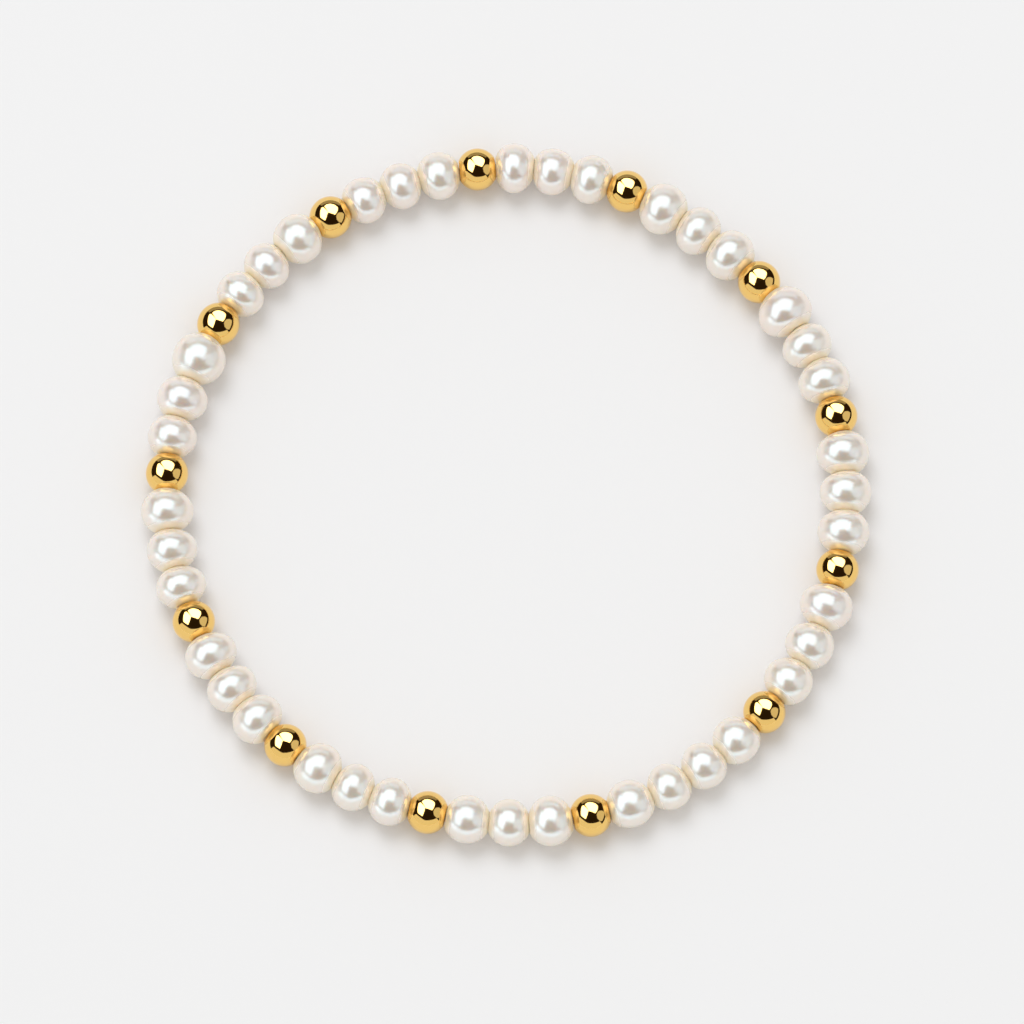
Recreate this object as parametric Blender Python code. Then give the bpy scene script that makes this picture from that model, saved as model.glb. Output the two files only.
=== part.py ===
"""A stretch bracelet lying in its own loop: drilled pearls with round gold beads between them.

Blender 4.5, metres, +Z up. The origin is on the table, under the middle of the loop.
Each bead is its own object, and one elastic cord runs through all of their holes.
"""

import bisect
import math
from collections import namedtuple

import bmesh
import bpy
from mathutils import Matrix, Vector

# Pearls are wider than they are long, because they are drilled through their short axis.
# The fullness is the power of the superellipse that gives the outline: 2 is an ellipse.
PEARL_WIDTH = 0.00418
PEARL_LENGTH = 0.00334
PEARL_FULLNESS = 2.35

# The gold beads are balls, with a flat pressed at each end where they meet the pearls.
GOLD_WIDTH = 0.0035
GOLD_FLAT_DIAMETER = 0.00176

# The elastic, the room round it in each hole, and the rim of flat bead round a pearl's mouth.
CORD_DIAMETER = 0.0006
HOLE_CLEARANCE = 0.00015
MOUTH_RIM = 0.0001

# Room between two beads on the inner side of the bend, where they come closest.
BEAD_CLEARANCE = 0.00006

# Facets: a bead's sides, the rings between its mouth and its girdle, and the cord's sides.
BEAD_SIDES = 12
SHOULDER_RINGS = 2
CORD_SIDES = 6

# The girdle is the short cylinder round a bead's middle, as a share of the bead's length.
GIRDLE_SHARE = 0.24

# Where the stringing starts, in degrees from +X. It runs clockwise seen from above.
START_DIRECTION = 98.1

# The stringing chart. Each row is the run of pearls that follows one gold bead, and each
# pearl's columns are its width and its length, as shares of PEARL_WIDTH and PEARL_LENGTH.
Pearl = namedtuple("Pearl", "width length")
STRINGING_CHART = (
    (Pearl(1.01, 0.93), Pearl(0.95, 0.96), Pearl(0.99, 0.95)),
    (Pearl(1.04, 1.08), Pearl(1.00, 0.97), Pearl(1.04, 1.05)),
    (Pearl(1.11, 1.08), Pearl(1.02, 0.95), Pearl(1.05, 0.99)),
    (Pearl(1.06, 1.01), Pearl(1.03, 0.98), Pearl(1.04, 1.01)),
    (Pearl(1.06, 1.04), Pearl(0.98, 1.03), Pearl(0.98, 1.04)),
    (Pearl(0.95, 1.05), Pearl(0.94, 0.99), Pearl(0.94, 0.98), Pearl(0.95, 1.07)),
    (Pearl(1.00, 1.04), Pearl(0.94, 0.97), Pearl(0.96, 1.03)),
    (Pearl(0.96, 0.96), Pearl(0.95, 0.93), Pearl(1.01, 1.04)),
    (Pearl(1.04, 0.98), Pearl(1.03, 0.96), Pearl(1.06, 0.99)),
    (Pearl(1.01, 0.94), Pearl(1.01, 0.96), Pearl(1.05, 1.01)),
    (Pearl(0.98, 0.97), Pearl(1.02, 1.00), Pearl(1.07, 1.15)),
    (Pearl(0.98, 0.96), Pearl(0.96, 0.97), Pearl(1.02, 1.06)),
    (Pearl(0.94, 0.98), Pearl(0.94, 0.94), Pearl(0.97, 1.00)),
)

# The loop lies as a circle with gentle swellings. The columns are the number of lobes, their
# height as a share of the loop's radius, and the direction of the first lobe in degrees.
Swelling = namedtuple("Swelling", "lobes height direction")
LOOP_SWELLINGS = (
    Swelling(2, 0.0040, -55.0),
    Swelling(3, 0.0025, -35.0),
    Swelling(4, 0.0019, 13.0),
    Swelling(5, 0.0034, 14.0),
    Swelling(7, 0.0019, 26.0),
)
ROUTE_STEPS = 3600

# Finishes of the materials.
Finish = namedtuple("Finish", "colour roughness metallic")
FINISHES = {
    "pearl": Finish((0.90, 0.86, 0.80), 0.22, 0.0),
    "gold": Finish((0.90, 0.62, 0.22), 0.08, 1.0),
    "elastic": Finish((0.86, 0.86, 0.84), 0.30, 0.0),
}


def clear_scene():
    """Removes every object that the scene starts with."""
    for obj in list(bpy.data.objects):
        bpy.data.objects.remove(obj, do_unlink=True)


def make_material(name):
    """A Principled material in one of the finishes."""
    finish = FINISHES[name]
    material = bpy.data.materials.new(name)
    material.use_nodes = True
    shader = material.node_tree.nodes["Principled BSDF"]
    shader.inputs["Base Color"].default_value = (*finish.colour, 1.0)
    shader.inputs["Roughness"].default_value = finish.roughness
    shader.inputs["Metallic"].default_value = finish.metallic
    return material


def hole_radius():
    """The radius of the hole drilled through every bead."""
    return CORD_DIAMETER / 2 + HOLE_CLEARANCE


def make_pearl(name, share):
    """A pearl's sizes, as a dictionary."""
    return {
        "name": name,
        "material": "pearl",
        "width": PEARL_WIDTH * share.width,
        "length": PEARL_LENGTH * share.length,
        "flat": hole_radius() + MOUTH_RIM,
        "fullness": PEARL_FULLNESS,
    }


def make_gold(name):
    """A gold bead's sizes, as a dictionary. Its length is what the two flats leave of the ball."""
    flat = GOLD_FLAT_DIAMETER / 2
    return {
        "name": name,
        "material": "gold",
        "width": GOLD_WIDTH,
        "length": 2 * math.sqrt((GOLD_WIDTH / 2) ** 2 - flat**2),
        "flat": flat,
        "fullness": 2.0,
    }


def list_beads():
    """The beads in stringing order."""
    beads = []
    pearl_count = 0
    for row_number, run in enumerate(STRINGING_CHART, start=1):
        beads.append(make_gold(f"gold_bead_{row_number:02d}"))
        for share in run:
            pearl_count += 1
            beads.append(make_pearl(f"pearl_{pearl_count:02d}", share))
    return beads


def thread_gap(bead_count):
    """The gap between two beads along the thread, which the bend narrows to BEAD_CLEARANCE."""
    half_bend = math.pi / bead_count
    return BEAD_CLEARANCE + 2 * (hole_radius() + MOUTH_RIM) * math.tan(half_bend)


def loop_route(loop_length):
    """Points all round the loop, clockwise, with the length of route that leads up to each."""
    outline = []
    for step in range(ROUTE_STEPS + 1):
        direction = math.radians(START_DIRECTION) - math.tau * step / ROUTE_STEPS
        radius = 1.0
        for swelling in LOOP_SWELLINGS:
            turn = direction - math.radians(swelling.direction)
            radius += swelling.height * math.cos(swelling.lobes * turn)
        outline.append(Vector((math.cos(direction), math.sin(direction))) * radius)
    reached = [0.0]
    for before, after in zip(outline, outline[1:]):
        reached.append(reached[-1] + (after - before).length)
    scale = loop_length / reached[-1]
    return [point * scale for point in outline], [length * scale for length in reached]


def point_on_route(route, length):
    """The point that lies a given length along the route."""
    points, reached = route
    after = min(max(bisect.bisect_left(reached, length), 1), len(points) - 1)
    step = reached[after] - reached[after - 1]
    return points[after - 1].lerp(points[after], (length - reached[after - 1]) / step)


def rest_heights(beads):
    """The height of each bead's hole above the table.

    A pearl lies on the table. A gold bead is narrower, so the elastic holds it up between its
    two neighbours, unless it is wide enough to reach the table by itself.
    """
    heights = [bead["width"] / 2 for bead in beads]
    for place, bead in enumerate(beads):
        if bead["material"] == "gold":
            between = (heights[place - 1] + heights[(place + 1) % len(beads)]) / 2
            heights[place] = max(heights[place], between)
    return heights


def string_beads(beads):
    """Places every bead on the loop, and returns the elastic's corners, one in each gap."""
    gap = thread_gap(len(beads))
    route = loop_route(sum(bead["length"] + gap for bead in beads))
    heights = rest_heights(beads)
    corners = []
    reached = 0.0
    for place, bead in enumerate(beads):
        corner = point_on_route(route, reached)
        corners.append(Vector((*corner, (heights[place - 1] + heights[place]) / 2)))
        reached += bead["length"] + gap
    # Each bead lies in the middle of a straight stretch of elastic, and in line with it.
    for place, bead in enumerate(beads):
        start, end = corners[place], corners[(place + 1) % len(corners)]
        bead["place"] = Vector(((start.x + end.x) / 2, (start.y + end.y) / 2, heights[place]))
        bead["turn"] = math.atan2(end.y - start.y, end.x - start.x)
    return corners


def half_outline(bead):
    """Half of a bead's outline as (along the hole, radius), from its mouth to its girdle.

    The shoulder follows a superellipse that ends at the edge of the flat. The girdle is a
    short cylinder, so that the facet under the bead lies flat on the table.
    """
    half_length = bead["length"] / 2
    half_width = bead["width"] / 2
    power = bead["fullness"]
    flat_share = (bead["flat"] / half_width) ** power
    reach = half_length / (1 - flat_share) ** (1 / power)
    flat_angle = math.asin(math.sqrt(flat_share))
    girdle_angle = math.acos(GIRDLE_SHARE ** (power / 2))
    outline = [(half_length, hole_radius()), (half_length, bead["flat"])]
    for ring in range(1, SHOULDER_RINGS + 1):
        angle = flat_angle + (girdle_angle - flat_angle) * ring / (SHOULDER_RINGS + 1)
        along = reach * math.cos(angle) ** (2 / power)
        radius = half_width * math.sin(angle) ** (2 / power)
        outline.append((along, radius))
    outline.append((reach * GIRDLE_SHARE, half_width))
    return outline


def bead_mesh(bead):
    """Spins a bead's closed outline round its hole, which lies along X.

    The middle of each facet touches the true round surface, and one facet faces straight down.
    """
    half = half_outline(bead)
    outline = half + [(-along, radius) for along, radius in reversed(half)]
    corner_share = 1 / math.cos(math.pi / BEAD_SIDES)
    start_turn = Matrix.Rotation(math.pi / BEAD_SIDES, 3, "X")
    builder = bmesh.new()
    corners = []
    for along, radius in outline:
        corner = start_turn @ Vector((along, 0.0, -radius * corner_share))
        corners.append(builder.verts.new(corner))
    edges = [builder.edges.new(pair) for pair in zip(corners, corners[1:] + corners[:1])]
    bmesh.ops.spin(
        builder,
        geom=corners + edges,
        cent=(0.0, 0.0, 0.0),
        axis=(1.0, 0.0, 0.0),
        angle=math.tau,
        steps=BEAD_SIDES,
        use_merge=True,
    )
    bmesh.ops.recalc_face_normals(builder, faces=builder.faces)
    mesh = bpy.data.meshes.new(bead["name"])
    builder.to_mesh(mesh)
    builder.free()
    mesh.shade_smooth()
    mesh.set_sharp_from_angle(angle=math.radians(40.0))
    return mesh


def add_bead(bead, material):
    """Adds one bead at its place, turned so that its hole follows the loop."""
    mesh = bead_mesh(bead)
    mesh.materials.append(material)
    obj = bpy.data.objects.new(bead["name"], mesh)
    obj.location = bead["place"]
    obj.rotation_euler.z = bead["turn"]
    bpy.context.scene.collection.objects.link(obj)
    return obj


def add_cord(corners, material):
    """Adds the elastic as one closed tube through the middle of every hole."""
    curve = bpy.data.curves.new("elastic_cord", "CURVE")
    curve.dimensions = "3D"
    curve.bevel_depth = CORD_DIAMETER / 2
    curve.bevel_resolution = CORD_SIDES // 2 - 2
    spline = curve.splines.new("POLY")
    spline.points.add(len(corners) - 1)
    for point, corner in zip(spline.points, corners):
        point.co = (*corner, 1.0)
    spline.use_cyclic_u = True
    curve.materials.append(material)
    obj = bpy.data.objects.new("elastic_cord", curve)
    bpy.context.scene.collection.objects.link(obj)
    return obj


def loop_middle(bead_objects):
    """The middle of the box round the beads, seen from above."""
    bpy.context.view_layer.update()
    corners = [
        obj.matrix_world @ vertex.co for obj in bead_objects for vertex in obj.data.vertices
    ]
    xs = [corner.x for corner in corners]
    ys = [corner.y for corner in corners]
    return Vector(((min(xs) + max(xs)) / 2, (min(ys) + max(ys)) / 2, 0.0))


def main():
    """Builds the bracelet."""
    clear_scene()
    materials = {name: make_material(name) for name in FINISHES}
    beads = list_beads()
    corners = string_beads(beads)
    bead_objects = [add_bead(bead, materials[bead["material"]]) for bead in beads]
    cord = add_cord(corners, materials["elastic"])
    middle = loop_middle(bead_objects)
    for obj in [*bead_objects, cord]:
        obj.location -= middle


main()
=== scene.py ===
"""Dresses the strung bracelet: nacre pearls, polished gold beads and the elastic inside them.

Lengths are in metres. Every bead's place and size is measured on its solid in the frame, so
the finished pieces follow the solids. The light rig and the camera stand round the loop.
"""

import logging
import math
import random
from dataclasses import dataclass, field
from enum import Enum

import bmesh
import bpy
from mathutils import Matrix, Vector, noise


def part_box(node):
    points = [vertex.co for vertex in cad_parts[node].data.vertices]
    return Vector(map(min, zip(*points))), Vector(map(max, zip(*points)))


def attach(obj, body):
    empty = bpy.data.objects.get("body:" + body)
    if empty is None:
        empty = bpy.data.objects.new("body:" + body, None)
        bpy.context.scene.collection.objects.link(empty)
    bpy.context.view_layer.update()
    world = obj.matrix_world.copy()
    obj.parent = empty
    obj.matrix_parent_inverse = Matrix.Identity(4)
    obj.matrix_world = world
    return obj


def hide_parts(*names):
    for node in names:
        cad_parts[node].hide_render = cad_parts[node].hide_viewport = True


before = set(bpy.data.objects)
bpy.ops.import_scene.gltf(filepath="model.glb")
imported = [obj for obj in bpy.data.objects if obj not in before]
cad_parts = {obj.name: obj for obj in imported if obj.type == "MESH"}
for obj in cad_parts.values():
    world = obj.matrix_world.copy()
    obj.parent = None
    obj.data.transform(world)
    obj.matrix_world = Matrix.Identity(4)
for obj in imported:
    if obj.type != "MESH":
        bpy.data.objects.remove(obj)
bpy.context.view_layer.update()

Colour = tuple[float, float, float]
Outline = list[tuple[float, float]]

BODY = "root"
PEARL_NODE = "pearl_"
GOLD_NODE = "gold_bead_"
ELASTIC_NODE = "elastic_cord"
END_SHARE = "end_share"
GLOW_SHARE = "glow_share"
MM_PER_M = 1000

log = logging.getLogger("bracelet")


class Signal:
    """A shader value: one output socket, on which Python's operators add Math nodes."""

    def __init__(self, bench: "Bench", socket: bpy.types.NodeSocket) -> None:
        """Wraps one output socket.

        Args:
            bench: The bench on which the socket's node stands.
            socket: The output socket.
        """
        self.bench = bench
        self.socket = socket

    def _math(self, operation: str, first: "Signal | float", second: "Signal | float") -> "Signal":
        """Adds one Math node.

        Args:
            operation: The node's operation.
            first: Its first value.
            second: Its second value.

        Returns:
            The node's output.
        """
        return self.bench.node("ShaderNodeMath", {"operation": operation}, {0: first, 1: second})

    def __add__(self, other: "Signal | float") -> "Signal":
        """Adds a value."""
        return self._math("ADD", self, other)

    def __radd__(self, other: float) -> "Signal":
        """Adds this to a number."""
        return self._math("ADD", other, self)

    def __mul__(self, other: "Signal | float") -> "Signal":
        """Multiplies by a value."""
        return self._math("MULTIPLY", self, other)

    def __rmul__(self, other: float) -> "Signal":
        """Multiplies a number by this."""
        return self._math("MULTIPLY", other, self)


class Bench:
    """The node tree of one material or world, and the one way in which nodes are added to it."""

    def __init__(self, owner: bpy.types.Material | bpy.types.World, output: str) -> None:
        """Starts on a tree that has nothing but its output.

        Args:
            owner: The material or world.
            output: The type of its output node.
        """
        owner.use_nodes = True
        self.tree = owner.node_tree
        self.tree.nodes.clear()
        self.output = self.tree.nodes.new(output)

    def node(
        self,
        kind: str,
        settings: dict[str, object] | None = None,
        values: dict[int | str, object] | None = None,
        output: int | str = 0,
    ) -> Signal:
        """Adds one node.

        Args:
            kind: The node's type.
            settings: The node's own settings, set before its sockets.
            values: Numbers, colours or signals for its sockets, by index or name.
            output: Which output socket is wanted.

        Returns:
            That output.
        """
        node = self.tree.nodes.new(kind)
        for name, setting in (settings or {}).items():
            setattr(node, name, setting)
        for key, value in (values or {}).items():
            self.feed(node.inputs[key], value)
        return Signal(self, node.outputs[output])

    def feed(self, socket: bpy.types.NodeSocket, value: object) -> None:
        """Sets or links one input socket.

        Args:
            socket: The input socket.
            value: A number, a colour or a signal.
        """
        if isinstance(value, Signal):
            self.tree.links.new(value.socket, socket)
        else:
            socket.default_value = value

    def cover(self, shader: Signal) -> None:
        """Makes a shader the one that shows.

        Args:
            shader: The shader's output.
        """
        self.feed(self.output.inputs["Surface"], shader)

    def dress(self, values: dict[str, object]) -> None:
        """Covers the surface with one Principled shader.

        Args:
            values: Numbers, colours or signals by the socket's name.
        """
        self.cover(self.node("ShaderNodeBsdfPrincipled", values=values))

    def place(self) -> Signal:
        """The point on the surface, in the object's own coordinates."""
        return self.node("ShaderNodeTexCoord", output="Object")

    def attribute(self, name: str) -> Signal:
        """A number stored on the mesh.

        Args:
            name: The attribute's name.

        Returns:
            Its value.
        """
        return self.node("ShaderNodeAttribute", {"attribute_name": name}, output="Fac")

    def noise(self, grain: float, detail: float = 2.0) -> Signal:
        """Soft noise from 0 to 1.

        Args:
            grain: The size of its patches, in metres.
            detail: How many finer layers it has.

        Returns:
            The noise.
        """
        values = {"Vector": self.place(), "Scale": 1.0 / grain, "Detail": detail}
        return self.node("ShaderNodeTexNoise", values=values)

    def ramp(self, value: Signal, start: float, end: float) -> Signal:
        """A soft step from 0 to 1.

        Args:
            value: What is mapped.
            start: Where the step starts.
            end: Where it ends.

        Returns:
            The step.
        """
        settings = {"interpolation_type": "SMOOTHSTEP"}
        return self.node("ShaderNodeMapRange", settings, {0: value, 1: start, 2: end})

    def blend(self, share: Signal, first: Colour | Signal, second: Colour | Signal) -> Signal:
        """Mixes two colours.

        Args:
            share: How much of the second shows.
            first: The first colour.
            second: The second colour.

        Returns:
            The mixed colour.
        """
        colours = [c if isinstance(c, Signal) else (*c, 1.0) for c in (first, second)]
        values = {0: share, 6: colours[0], 7: colours[1]}
        return self.node("ShaderNodeMix", {"data_type": "RGBA"}, values, output=2)

    def bump(self, height: Signal, depth: float) -> Signal:
        """A bumped normal.

        Args:
            height: The relief, from 0 to 1.
            depth: How deep it is, in metres.

        Returns:
            The normal.
        """
        return self.node("ShaderNodeBump", values={"Height": height, "Distance": depth})


def new_material(name: str) -> tuple[bpy.types.Material, Bench]:
    """Starts a material.

    Args:
        name: The material's name.

    Returns:
        The material and its bench.
    """
    material = bpy.data.materials.new(name)
    return material, Bench(material, "ShaderNodeOutputMaterial")


@dataclass(frozen=True)
class Nacre:
    """The finish of a pearl: a warm body under a bright, slightly blurred skin.

    The drilled ends are duller, and painted a warm pale colour that stands for the glow of light
    passing through and between the pearls at their seams. Light goes a little way into the body,
    and a faint sheen stands for the haze on its rim.
    """

    name: str
    body: Colour
    overtone: Colour
    overtone_range: tuple[float, float] = (0.35, 0.7)
    patch_size: float = 0.0022
    # Painted glow: a warm pale colour at the ends that stands for light shining through and between the
    # pearls at the seams.
    painted_seam_glow: Colour = (1.0, 0.79, 0.555)
    end_range: tuple[float, float] = (0.66, 1.0)
    end_roughness: float = 0.18
    skin_index: float = 4.8
    roughness: float = 0.22
    ripple_roughness: float = 0.06
    ripple_size: float = 0.0007
    ripple_depth: float = 0.000004
    body_glow: float = 0.8
    body_glow_reach: Colour = (1.0, 0.8, 0.55)
    body_glow_depth: float = 0.0014
    sheen: float = 0.3
    sheen_roughness: float = 0.4
    sheen_tint: Colour = (0.76, 0.97, 0.98)

    def material(self) -> bpy.types.Material:
        """Makes the material.

        Returns:
            The material.
        """
        material, bench = new_material(self.name)
        patches = bench.ramp(bench.noise(self.patch_size), *self.overtone_range)
        ripples = bench.noise(self.ripple_size)
        end = bench.ramp(bench.attribute(END_SHARE), *self.end_range)
        body = bench.blend(patches, self.body, self.overtone)
        bench.dress(
            {
                # Painted glow: the ends are blended towards a warm pale colour that stands for light at
                # the seams.
                "Base Color": bench.blend(end, body, self.painted_seam_glow),
                "Roughness": self.roughness + self.ripple_roughness * ripples + self.end_roughness * end,
                "Normal": bench.bump(ripples, self.ripple_depth),
                "IOR": self.skin_index,
                "Subsurface Weight": self.body_glow,
                "Subsurface Radius": self.body_glow_reach,
                "Subsurface Scale": self.body_glow_depth,
                "Sheen Weight": self.sheen,
                "Sheen Roughness": self.sheen_roughness,
                "Sheen Tint": (*self.sheen_tint, 1.0),
            }
        )
        return material


@dataclass(frozen=True)
class PolishedGold:
    """The finish of a gold bead: a mirror polish with the faintest waves and hazing."""

    name: str = "polished_gold"
    face: Colour = (0.96, 0.64, 0.205)
    deep: Colour = (0.945, 0.618, 0.188)
    roughness: float = 0.052
    haze_roughness: float = 0.04
    haze_size: float = 0.0012
    haze_detail: float = 4.0
    wave_size: float = 0.0010
    wave_depth: float = 0.000003

    def material(self) -> bpy.types.Material:
        """Makes the material.

        Returns:
            The material.
        """
        material, bench = new_material(self.name)
        haze = bench.noise(self.haze_size, self.haze_detail)
        bench.dress(
            {
                "Base Color": bench.blend(haze, self.face, self.deep),
                "Metallic": 1.0,
                "Roughness": self.roughness + self.haze_roughness * haze,
                "Normal": bench.bump(bench.noise(self.wave_size), self.wave_depth),
            }
        )
        return material


@dataclass(frozen=True)
class MilkyElastic:
    """The finish of the elastic: milky, with soft streaks."""

    name: str = "milky_elastic"
    pale: Colour = (0.86, 0.84, 0.78)
    dull: Colour = (0.70, 0.66, 0.58)
    roughness: float = 0.3
    streak_roughness: float = 0.2
    streak_size: float = 0.0004
    streak_detail: float = 3.0
    streak_depth: float = 0.00001

    def material(self) -> bpy.types.Material:
        """Makes the material.

        Returns:
            The material.
        """
        material, bench = new_material(self.name)
        streaks = bench.noise(self.streak_size, self.streak_detail)
        bench.dress(
            {
                "Base Color": bench.blend(streaks, self.pale, self.dull),
                "Roughness": self.roughness + self.streak_roughness * streaks,
                "Normal": bench.bump(streaks, self.streak_depth),
            }
        )
        return material


@dataclass(frozen=True)
class Glow:
    """The finish of a light panel: it shines, fades towards its edge and lets all rays through.

    A bead mirrors it in its tint. The echo is its colour in a mirror image of a mirror image.
    The two depths count how many times a ray was thrown back before it reached the panel.
    """

    name: str
    radiance: float
    tint: Colour
    echo: Colour
    unlit: Colour = (0.0, 0.0, 0.0)
    image_depth: float = 1.0
    echo_depth: float = 2.0

    def material(self) -> bpy.types.Material:
        """Makes the material.

        Returns:
            The material.
        """
        material, bench = new_material(self.name)
        mirrors = bench.node("ShaderNodeLightPath", output="Ray Depth")
        echoed = bench.ramp(mirrors, self.image_depth, self.echo_depth)
        full = bench.blend(echoed, self.tint, self.echo)
        colour = bench.blend(bench.attribute(GLOW_SHARE), self.unlit, full)
        light = bench.node("ShaderNodeEmission", values={"Color": colour, "Strength": self.radiance})
        clear = bench.node("ShaderNodeBsdfTransparent")
        bench.cover(bench.node("ShaderNodeAddShader", values={0: light, 1: clear}))
        return material


@dataclass(frozen=True)
class Paper:
    """The finish of the table: smooth matt white paper."""

    name: str = "table_paper"
    colour: Colour = (0.90, 0.90, 0.90)

    def material(self) -> bpy.types.Material:
        """Makes the material.

        Returns:
            The material.
        """
        material, bench = new_material(self.name)
        bench.dress(
            {
                "Base Color": (*self.colour, 1.0),
                "Roughness": 1.0,
                "Specular IOR Level": 0.0,
            }
        )
        return material


class Overtone(Enum):
    """The kinds of pearl in the strand, each with its own nacre."""

    WHITE = Nacre("nacre_white", body=(0.90, 0.764, 0.648), overtone=(0.893, 0.769, 0.656))
    ROSE = Nacre("nacre_rose", body=(0.907, 0.757, 0.653), overtone=(0.90, 0.753, 0.659))
    CREAM = Nacre("nacre_cream", body=(0.903, 0.766, 0.641), overtone=(0.90, 0.77, 0.647))
    SILVER = Nacre("nacre_silver", body=(0.89, 0.761, 0.651), overtone=(0.887, 0.766, 0.659))


# The overtone of each pearl in stringing order, by its first letter.
OVERTONES_IN_ORDER = "RRWWSW RWWSWS RWCWSC SWCSSW CWWSWS WRRWWR WRRW".replace(" ", "")


@dataclass
class Seam:
    """The plane in which two neighbouring beads meet."""

    point: Vector
    normal: Vector

    def reach(self, start: Vector, along: Vector) -> float:
        """How far the plane lies from a point.

        Args:
            start: The point.
            along: The way in which it is measured.

        Returns:
            The distance.
        """
        return (self.point - start).dot(self.normal) / along.dot(self.normal)


@dataclass
class DrilledBead:
    """One bead of the strand, as measured on its solid."""

    node: str
    centre: Vector
    along: Vector
    half_length: float
    half_width: float
    hole_radius: float
    flat_radius: float
    ahead: Seam | None = None
    behind: Seam | None = None

    def end(self, side: int) -> Vector:
        """The middle of one flat end.

        Args:
            side: 1 for the end that points along the strand, and -1 for the other.

        Returns:
            The point.
        """
        return self.centre + self.along * (self.half_length * side)

    def seat(self) -> Matrix:
        """The transform that takes a bead turned about X to its place on the strand."""
        turn = math.atan2(self.along.y, self.along.x)
        return Matrix.Translation(self.centre) @ Matrix.Rotation(turn, 4, "Z")


def measure_bead(node: str, towards: Vector) -> DrilledBead:
    """Measures a bead's solid.

    Args:
        node: The bead's node.
        towards: Roughly the way that its hole points.

    Returns:
        The measured bead.
    """
    digits = 7
    end_depth = 0.00003
    corners = {tuple(round(x, digits) for x in v.co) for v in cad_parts[node].data.vertices}
    points = [Vector(corner) for corner in corners]
    reach = [point.dot(towards) for point in points]
    front = [point for point, r in zip(points, reach) if r > max(reach) - end_depth]
    back = [point for point, r in zip(points, reach) if r < min(reach) + end_depth]
    front_middle = sum(front, Vector()) / len(front)
    back_middle = sum(back, Vector()) / len(back)
    along = (front_middle - back_middle).normalized()
    low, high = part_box(node)
    half_width = (high.z - low.z) / 2
    radii = [(p - front_middle - along * (p - front_middle).dot(along)).length for p in points]
    # The middle of each facet touches the true surface, and its corners stand outside it.
    facet_share = half_width / max(radii)
    end_radii = [(point - front_middle).length for point in front]
    return DrilledBead(
        node=node,
        centre=(front_middle + back_middle) / 2,
        along=along,
        half_length=(front_middle - back_middle).length / 2,
        half_width=half_width,
        hole_radius=min(end_radii) * facet_share,
        flat_radius=max(end_radii) * facet_share,
    )


def measure_strand() -> list[DrilledBead]:
    """Measures every bead, in order round the loop, clockwise seen from above.

    Returns:
        The beads.
    """
    middles = {}
    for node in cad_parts:
        if node.startswith((PEARL_NODE, GOLD_NODE)):
            low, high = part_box(node)
            middles[node] = (low + high) / 2
    order = sorted(middles, key=lambda node: -math.atan2(middles[node].y, middles[node].x))
    beads = []
    for place, node in enumerate(order):
        after = middles[order[(place + 1) % len(order)]]
        towards = (after - middles[order[place - 1]]).normalized()
        beads.append(measure_bead(node, towards))
    for bead, follower in zip(beads, beads[1:] + beads[:1]):
        middle = (bead.end(1) + follower.end(-1)) / 2
        bead.ahead = Seam(middle, (bead.along + follower.along).normalized())
        follower.behind = bead.ahead
    return beads


def finish_piece(
    builder: bmesh.types.BMesh, name: str, material: bpy.types.Material
) -> bpy.types.Object:
    """Makes a smooth-shaded object of a finished bmesh, and lets it ride on the body.

    Args:
        builder: The bmesh, with its place in its vertices. It is freed.
        name: The piece's name.
        material: Its material.

    Returns:
        The piece.
    """
    bmesh.ops.recalc_face_normals(builder, faces=builder.faces)
    mesh = bpy.data.meshes.new(name)
    builder.to_mesh(mesh)
    builder.free()
    mesh.shade_smooth()
    mesh.materials.append(material)
    piece = bpy.data.objects.new(name, mesh)
    bpy.context.scene.collection.objects.link(piece)
    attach(piece, BODY)
    log.info("%s: %d faces", name, len(mesh.polygons))
    return piece


@dataclass
class Turner:
    """Turns drilled beads from an outline, as on a lathe."""

    sides: int = 64
    rings: int = 24
    lip: float = 0.00006
    lip_steps: int = 3

    def outline(self, bead: DrilledBead, fullness: float) -> Outline:
        """The closed outline of half a section, as (along the hole, radius).

        Args:
            bead: The bead.
            fullness: The power of the superellipse that the shoulder follows.

        Returns:
            The outline's points, outside first and the hole's wall last.
        """
        flat_share = (bead.flat_radius / bead.half_width) ** fullness
        reach = bead.half_length / (1 - flat_share) ** (1 / fullness)
        first_angle = math.asin(math.sqrt(flat_share))
        points = []
        for ring in range(self.rings + 1):
            angle = first_angle + (math.pi - 2 * first_angle) * ring / self.rings
            cosine = math.cos(angle)
            along = math.copysign(reach * abs(cosine) ** (2 / fullness), cosine)
            points.append((along, bead.half_width * math.sin(angle) ** (2 / fullness)))
        mouth = []
        for step in range(self.lip_steps + 1):
            angle = math.pi / 2 * step / self.lip_steps
            along = bead.half_length - self.lip * (1 - math.cos(angle))
            mouth.append((along, bead.hole_radius + self.lip * (1 - math.sin(angle))))
        points += [(-along, radius) for along, radius in mouth]
        points += reversed(mouth)
        return points

    def turn(self, outline: Outline) -> bmesh.types.BMesh:
        """Spins a closed outline about X.

        Args:
            outline: The outline.

        Returns:
            The bmesh of the turned solid.
        """
        builder = bmesh.new()
        corners = [builder.verts.new((along, 0.0, -radius)) for along, radius in outline]
        edges = [builder.edges.new(pair) for pair in zip(corners, corners[1:] + corners[:1])]
        bmesh.ops.spin(
            builder,
            geom=corners + edges,
            cent=(0.0, 0.0, 0.0),
            axis=(1.0, 0.0, 0.0),
            angle=math.tau,
            steps=self.sides,
            use_merge=True,
        )
        return builder


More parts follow.
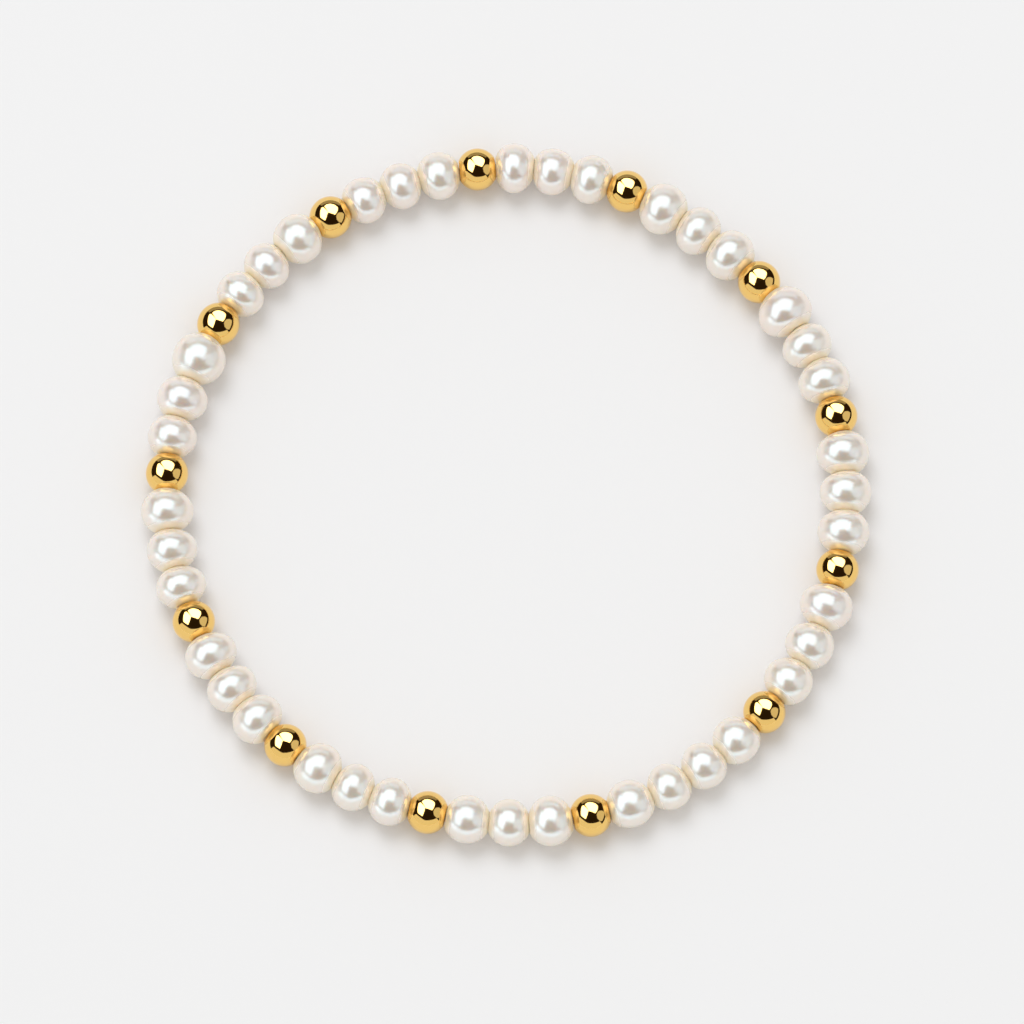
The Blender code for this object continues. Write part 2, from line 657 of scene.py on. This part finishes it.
@dataclass
class PearlRun:
    """The pearls of the strand: turned, then given the small unevenness of grown ones.

    Their flat ends reach a share of the half width, picked between the two of pressed_share.
    """

    beads: list[DrilledBead]
    turner: Turner = field(default_factory=Turner)
    fullness: float = 2.08
    pressed_share: tuple[float, float] = (0.35, 0.44)
    seam_gap: float = 0.000006
    inner_fullness: float = 1.03
    egg: float = 0.05
    lump_size: float = 0.0022
    hollow_depth: float = 0.00002
    seed: int = 7

    def grow(self, builder: bmesh.types.BMesh, bead: DrilledBead, egg: float) -> None:
        """Makes a turned pearl a little uneven, and notes how near each point is to a drilled end.

        Args:
            builder: The turned pearl, still about X.
            bead: Its measures.
            egg: How far its fullest part lies off the middle, as a share of its half length.
        """
        end_share = builder.verts.layers.float.new(END_SHARE)
        for vertex in builder.verts:
            share = vertex.co.x / bead.half_length
            ease = max(0.0, 1 - share * share)
            hollow = (1 - noise.noise((vertex.co + bead.centre) / self.lump_size)) / 2
            outward = Vector((0.0, vertex.co.y, vertex.co.z)).normalized()
            vertex[end_share] = min(1.0, abs(share))
            vertex.co.x += egg * bead.half_length * ease
            vertex.co -= outward * (self.hollow_depth * hollow * ease)
            if vertex.co.y < 0:
                vertex.co.y *= self.inner_fullness

    def press(self, builder: bmesh.types.BMesh, bead: DrilledBead) -> None:
        """Leans both ends of a pearl on its place until they lie along the seams with its neighbours.

        Args:
            builder: The pearl, in its place.
            bead: Its measures.
        """
        for vertex in builder.verts:
            share = (vertex.co - bead.centre).dot(bead.along) / bead.half_length
            seam, side = (bead.ahead, 1) if share > 0 else (bead.behind, -1)
            foot = vertex.co - bead.along * (share * bead.half_length)
            room = seam.reach(foot, bead.along) - side * (bead.half_length + self.seam_gap / 2)
            vertex.co += bead.along * (room * share * share)

    def build(self, materials: dict[Overtone, bpy.types.Material]) -> list[bpy.types.Object]:
        """Builds every pearl.

        Args:
            materials: A material for each overtone.

        Returns:
            The pearls.
        """
        pieces = []
        chance = random.Random(self.seed)
        by_letter = {overtone.name[0]: overtone for overtone in Overtone}
        for number, bead in enumerate(self.beads):
            bead.flat_radius = chance.uniform(*self.pressed_share) * bead.half_width
            overtone = by_letter[OVERTONES_IN_ORDER[number % len(OVERTONES_IN_ORDER)]]
            builder = self.turner.turn(self.turner.outline(bead, self.fullness))
            self.grow(builder, bead, chance.uniform(-self.egg, self.egg))
            bmesh.ops.transform(builder, matrix=bead.seat(), verts=builder.verts)
            self.press(builder, bead)
            drop = min(vertex.co.z for vertex in builder.verts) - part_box(bead.node)[0].z
            bmesh.ops.translate(builder, vec=(0.0, 0.0, -drop), verts=builder.verts)
            piece = finish_piece(builder, f"nacre_{bead.node}", materials[overtone])
            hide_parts(bead.node)
            pieces.append(piece)
        return pieces


@dataclass
class GoldRun:
    """The gold beads of the strand: balls with a flat at each end, its edge softly rounded."""

    beads: list[DrilledBead]
    turner: Turner = field(default_factory=Turner)
    fullness: float = 2.0
    plumpness: float = 1.025
    seating: float = 0.00002
    edge_radius: float = 0.00008
    edge_steps: int = 3

    def soften(self, builder: bmesh.types.BMesh, bead: DrilledBead) -> None:
        """Rounds the edge of both flats.

        Args:
            builder: The turned bead, still about X.
            bead: Its measures.
        """
        same = 0.00001
        edges = [
            edge
            for edge in builder.edges
            if all(
                abs(abs(v.co.x) - bead.half_length) < same
                and abs(v.co.yz.length - bead.flat_radius) < same
                for v in edge.verts
            )
        ]
        bmesh.ops.bevel(
            builder,
            geom=edges,
            offset=self.edge_radius,
            segments=self.edge_steps,
            profile=0.5,
            affect="EDGES",
            material=-1,
        )

    def build(self, material: bpy.types.Material) -> list[bpy.types.Object]:
        """Builds every gold bead.

        Args:
            material: Their material.

        Returns:
            The gold beads.
        """
        pieces = []
        for bead in self.beads:
            bead.half_length += self.seating
            bead.half_width *= self.plumpness
            builder = self.turner.turn(self.turner.outline(bead, self.fullness))
            self.soften(builder, bead)
            bmesh.ops.transform(builder, matrix=bead.seat(), verts=builder.verts)
            piece = finish_piece(builder, f"polished_{bead.node}", material)
            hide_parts(bead.node)
            pieces.append(piece)
        return pieces


@dataclass
class Elastic:
    """The elastic through the whole strand: straight in each bead, bent in each gap."""

    beads: list[DrilledBead]
    diameter: float = 0.0006
    sides: int = 16

    def stations(self) -> list[Vector]:
        """The points that the elastic passes, one in each gap.

        Returns:
            The points.
        """
        after = self.beads[1:] + self.beads[:1]
        return [(bead.end(1) + follower.end(-1)) / 2 for bead, follower in zip(self.beads, after)]

    def build(self, material: bpy.types.Material) -> None:
        """Builds the elastic as rings bridged one to the next.

        Args:
            material: Its material.
        """
        stations = self.stations()
        builder = bmesh.new()
        rings = []
        for place, station in enumerate(stations):
            ahead = stations[(place + 1) % len(stations)] - stations[place - 1]
            turn = ahead.to_track_quat("Z", "Y").to_matrix().to_4x4()
            made = bmesh.ops.create_circle(
                builder,
                segments=self.sides,
                radius=self.diameter / 2,
                matrix=Matrix.Translation(station) @ turn,
            )
            rings.append(list({edge for vertex in made["verts"] for edge in vertex.link_edges}))
        for ring, after in zip(rings, rings[1:] + rings[:1]):
            bmesh.ops.bridge_loops(builder, edges=ring + after)
        piece = finish_piece(builder, "stretch_elastic", material)
        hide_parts(ELASTIC_NODE)


@dataclass
class Table:
    """The pale table that the bracelet lies on."""

    radius: float = 3.0
    sides: int = 128

    def build(self, material: bpy.types.Material) -> None:
        """Builds the table's top.

        Args:
            material: Its material.
        """
        builder = bmesh.new()
        bmesh.ops.create_circle(builder, cap_ends=True, segments=self.sides, radius=self.radius)
        mesh = bpy.data.meshes.new("table_top")
        builder.to_mesh(mesh)
        builder.free()
        mesh.materials.append(material)
        top = bpy.data.objects.new("table_top", mesh)
        bpy.context.scene.collection.objects.link(top)
        log.info("table_top: radius %.1f m", self.radius)


class Reach(Enum):
    """What the light of a panel reaches: a matt surface's colour, or a glossy bead's mirror image."""

    FORM = "form"
    GOLD = "gold"
    PEARL = "pearl"


@dataclass
class Panel:
    """A flat light panel that faces the loop.

    Its corners are shares of its distance, sideways and upwards from its middle, which lies
    in the direction given in degrees from +X and above the table. It has a copy, with a
    radiance of its own, for each thing that its light reaches. The pearls' copy has a tint of
    its own and is turned and grown. Each kind of bead has its echo, as the glow describes it.
    """

    name: str
    azimuth: float
    elevation: float
    corners: Outline
    radiance: dict[Reach, float]
    tint: Colour = (1.0, 1.0, 1.0)
    soft_edge: float = 0.08
    distance: float = 2.5
    apart: float = 0.02
    edge_glow: float = 0.1
    gold_echo: Colour = (0.7, 0.7, 0.7)
    pearl_tint: Colour = (0.78, 1.0, 1.12)
    pearl_echo: Colour = (1.14, 0.985, 0.82)
    pearl_turn: tuple[float, float] = (7.0, -3.0)
    pearl_growth: float = 1.0

    def mesh(
        self, copy_name: str, distance: float, growth: float, turn: tuple[float, float]
    ) -> bpy.types.Mesh:
        """Builds the panel's face, with a rim on which its glow fades.

        Args:
            copy_name: The name of the copy.
            distance: How far from the loop it stands.
            growth: The factor by which its corners stand further from its middle.
            turn: How far it is turned about the loop's X and Y axes, in degrees.

        Returns:
            The mesh.
        """
        azimuth, elevation = math.radians(self.azimuth), math.radians(self.elevation)
        sideways = Vector((-math.sin(azimuth), math.cos(azimuth), 0.0))
        ground = Vector((math.cos(azimuth), math.sin(azimuth), 0.0))
        outward = ground * math.cos(elevation) + Vector((0.0, 0.0, math.sin(elevation)))
        upward = outward.cross(sideways)
        builder = bmesh.new()
        glow = builder.verts.layers.float.new(GLOW_SHARE)
        rim = [
            builder.verts.new((outward + (sideways * across + upward * up) * growth) * distance)
            for across, up in self.corners
        ]
        edges = [builder.edges.new(pair) for pair in zip(rim, rim[1:] + rim[:1])]
        made = bmesh.ops.edgeloop_fill(builder, edges=edges)
        bmesh.ops.inset_individual(
            builder,
            faces=made["faces"],
            thickness=self.soft_edge * distance,
            use_even_offset=True,
        )
        for vertex in builder.verts:
            vertex[glow] = self.edge_glow if vertex in rim else 1.0
        for angle, axis in zip(turn, "XY"):
            rotation = Matrix.Rotation(math.radians(angle), 4, axis)
            bmesh.ops.transform(builder, matrix=rotation, verts=builder.verts)
        mesh = bpy.data.meshes.new(copy_name)
        builder.to_mesh(mesh)
        builder.free()
        return mesh

    def build(self, receivers: dict[Reach, bpy.types.Collection]) -> None:
        """Builds the panel's copies, which shine but aren't seen by the camera itself.

        Args:
            receivers: The pieces that mirror a panel, for each of the two kinds of bead.
        """
        for number, (reach, radiance) in enumerate(self.radiance.items()):
            copy_name = f"{self.name}_for_{reach.value}"
            growth, turn, tint, echo = 1.0, (0.0, 0.0), self.tint, self.tint
            if reach is Reach.GOLD:
                echo = self.gold_echo
            elif reach is Reach.PEARL:
                growth, turn = self.pearl_growth, self.pearl_turn
                tint, echo = self.pearl_tint, self.pearl_echo
            mesh = self.mesh(copy_name, self.distance * (1 + self.apart * number), growth, turn)
            mesh.materials.append(Glow(f"{copy_name}_glow", radiance, tint, echo).material())
            panel = bpy.data.objects.new(copy_name, mesh)
            panel.visible_camera = False
            panel.visible_shadow = False
            if reach in receivers:
                panel.visible_diffuse = False
                panel.light_linking.receiver_collection = receivers[reach]
            else:
                panel.visible_glossy = False
            bpy.context.scene.collection.objects.link(panel)
            log.info("%s: radiance %.2f", copy_name, radiance)


def round_panel(radius: float, sides: int = 24) -> Outline:
    """The corners of a round panel.

    Args:
        radius: Its radius, as a share of its distance.
        sides: How many corners it has.

    Returns:
        The corners.
    """
    turns = [math.tau * side / sides for side in range(sides)]
    return [(radius * math.cos(turn), radius * math.sin(turn)) for turn in turns]


LEFT_PANEL = Panel(
    name="left_panel",
    azimuth=169.6,
    elevation=48.9,
    corners=[(-0.58, -0.36), (-0.67, -0.17), (-0.21, 0.54), (0.33, 0.45), (0.80, 0.27), (0.34, -0.26)],
    radiance={Reach.GOLD: 4.3, Reach.PEARL: 1.65},
    pearl_turn=(13.0, -6.0),
    pearl_growth=1.09,
)
BACK_PANEL = Panel(
    name="back_panel",
    azimuth=70.4,
    elevation=49.2,
    corners=[
        (0.93, -0.07),
        (0.66, -0.28),
        (0.35, -0.36),
        (-0.07, -0.36),
        (-0.35, -0.28),
        (-0.47, -0.08),
        (-0.55, 0.28),
        (-0.56, 0.68),
        (0.28, 0.73),
    ],
    radiance={Reach.GOLD: 4.1, Reach.PEARL: 1.5},
    pearl_turn=(13.0, -6.0),
    pearl_growth=1.09,
)
RIGHT_CARD = Panel(
    name="right_card",
    azimuth=-6.4,
    elevation=30.1,
    corners=[
        (-0.46, -0.36),
        (-0.55, -0.05),
        (-0.43, 0.33),
        (-0.12, 0.52),
        (0.12, 0.48),
        (0.34, 0.27),
        (0.42, -0.08),
        (0.36, -0.36),
    ],
    radiance={Reach.GOLD: 0.68, Reach.PEARL: 0.74},
    soft_edge=0.05,
    pearl_turn=(12.0, -11.0),
)
SIDE_CARD = Panel(
    name="side_card",
    azimuth=-6.4,
    elevation=0.0,
    corners=[(-0.63, -0.06), (-0.63, 0.30), (0.55, 0.30), (0.55, -0.06)],
    radiance={Reach.PEARL: 0.6},
    soft_edge=0.05,
    pearl_turn=(0.0, -6.0),
)
FRONT_CARD = Panel(
    name="front_card",
    azimuth=-90.0,
    elevation=0.0,
    corners=[
        (-4.2, -0.06),
        (1.28, -0.06),
        (1.28, 0.64),
        (-0.3, 0.63),
        (-1.2, 1.0),
        (-3.5, 1.6),
        (-4.2, 1.5),
    ],
    radiance={Reach.GOLD: 0.82, Reach.PEARL: 1.3},
    distance=0.6,
    soft_edge=0.03,
    pearl_turn=(12.0, -3.0),
)
BACK_CARD = Panel(
    name="back_card",
    azimuth=90.0,
    elevation=0.0,
    corners=[(-0.78, -0.06), (0.84, -0.06), (0.84, 0.46), (0.0, 0.44), (-0.78, 0.40)],
    radiance={Reach.GOLD: 0.32, Reach.PEARL: 0.75},
    soft_edge=0.06,
)
LEFT_CARD = Panel(
    name="left_card",
    azimuth=182.0,
    elevation=0.0,
    corners=[(-0.7, -0.06), (0.9, -0.06), (0.9, 0.40), (-0.7, 0.46)],
    radiance={Reach.PEARL: 0.5},
    soft_edge=0.1,
)
CORNER_CARD = Panel(
    name="corner_card",
    azimuth=30.0,
    elevation=0.0,
    corners=[(-0.4, -0.06), (0.5, -0.06), (0.5, 0.8), (-0.4, 0.9)],
    radiance={Reach.PEARL: 0.22},
    soft_edge=0.1,
)
KEY_PANEL = Panel(
    name="key_panel",
    azimuth=112.0,
    elevation=64.0,
    corners=round_panel(0.35),
    radiance={Reach.FORM: 3.54},
    tint=(0.941, 0.969, 1.036),
)


@dataclass
class Studio:
    """The light round the table, the way the picture is shown, and the camera."""

    panels: tuple[Panel, ...] = (
        LEFT_PANEL,
        BACK_PANEL,
        RIGHT_CARD,
        SIDE_CARD,
        FRONT_CARD,
        BACK_CARD,
        LEFT_CARD,
        CORNER_CARD,
        KEY_PANEL,
    )
    backdrop: Colour = (0.888, 0.888, 0.888)
    ambient: Colour = (0.719, 0.711, 0.692)
    dark: Colour = (0.020, 0.012, 0.006)
    lens_mm: float = 300.0
    sensor_mm: float = 36.0
    pixels_per_mm: float = 11.92
    frame_pixels: int = 1024
    clip_factor: float = 10.0
    camera_elevation: float = 74.0
    target: tuple[float, float, float] = (0.00049, -0.00182, 0.00205)

    def light(self, pieces: dict[Reach, list[bpy.types.Object]]) -> None:
        """Builds the panels, and a surrounding that fills the shadows and mirrors dark.

        Args:
            pieces: The finished beads of each kind, which mirror the panels.
        """
        receivers = {}
        for reach, beads in pieces.items():
            receivers[reach] = bpy.data.collections.new(f"{reach.value}_beads")
            for bead in beads:
                receivers[reach].objects.link(bead)
        for panel in self.panels:
            panel.build(receivers)
        world = bpy.data.worlds.new("surrounding")
        bench = Bench(world, "ShaderNodeOutputWorld")
        mirrored = bench.node("ShaderNodeLightPath", output="Is Glossy Ray")
        seen = bench.node("ShaderNodeLightPath", output="Is Camera Ray")
        unseen = bench.blend(mirrored, self.ambient, self.dark)
        colour = bench.blend(seen, unseen, self.backdrop)
        bench.cover(bench.node("ShaderNodeBackground", values={"Color": colour}))
        world.cycles.sampling_method = "NONE"
        bpy.context.scene.world = world
        bpy.context.scene.view_settings.view_transform = "Standard"

    def camera(self) -> None:
        """Sets the camera at the height and distance that give the frame its scale."""
        elevation = math.radians(self.camera_elevation)
        frame_width = self.frame_pixels / self.pixels_per_mm / MM_PER_M
        distance = frame_width * self.lens_mm / self.sensor_mm
        backward = Vector((0.0, -math.cos(elevation), math.sin(elevation)))
        data = bpy.data.cameras.new("camera")
        data.lens = self.lens_mm
        data.sensor_width = self.sensor_mm
        data.clip_start = distance / self.clip_factor
        data.clip_end = distance * self.clip_factor
        camera = bpy.data.objects.new("camera", data)
        camera.location = Vector(self.target) + backward * distance
        camera.rotation_euler = (-backward).to_track_quat("-Z", "Y").to_euler()
        bpy.context.scene.collection.objects.link(camera)
        bpy.context.scene.camera = camera
        log.info("camera: %.3f m from the loop", distance)


def main() -> None:
    """Builds the camera, the bracelet's pieces, the table and the light."""
    logging.basicConfig(level=logging.INFO, format="%(message)s")
    studio = Studio()
    studio.camera()
    strand = measure_strand()
    pearls = sorted((b for b in strand if b.node.startswith(PEARL_NODE)), key=lambda b: b.node)
    golds = [bead for bead in strand if bead.node.startswith(GOLD_NODE)]
    Elastic(strand).build(MilkyElastic().material())
    nacres = {overtone: overtone.value.material() for overtone in Overtone}
    pieces = {
        Reach.PEARL: PearlRun(pearls).build(nacres),
        Reach.GOLD: GoldRun(golds).build(PolishedGold().material()),
    }
    Table().build(Paper().material())
    studio.light(pieces)


if __name__ == "__main__":
    main()
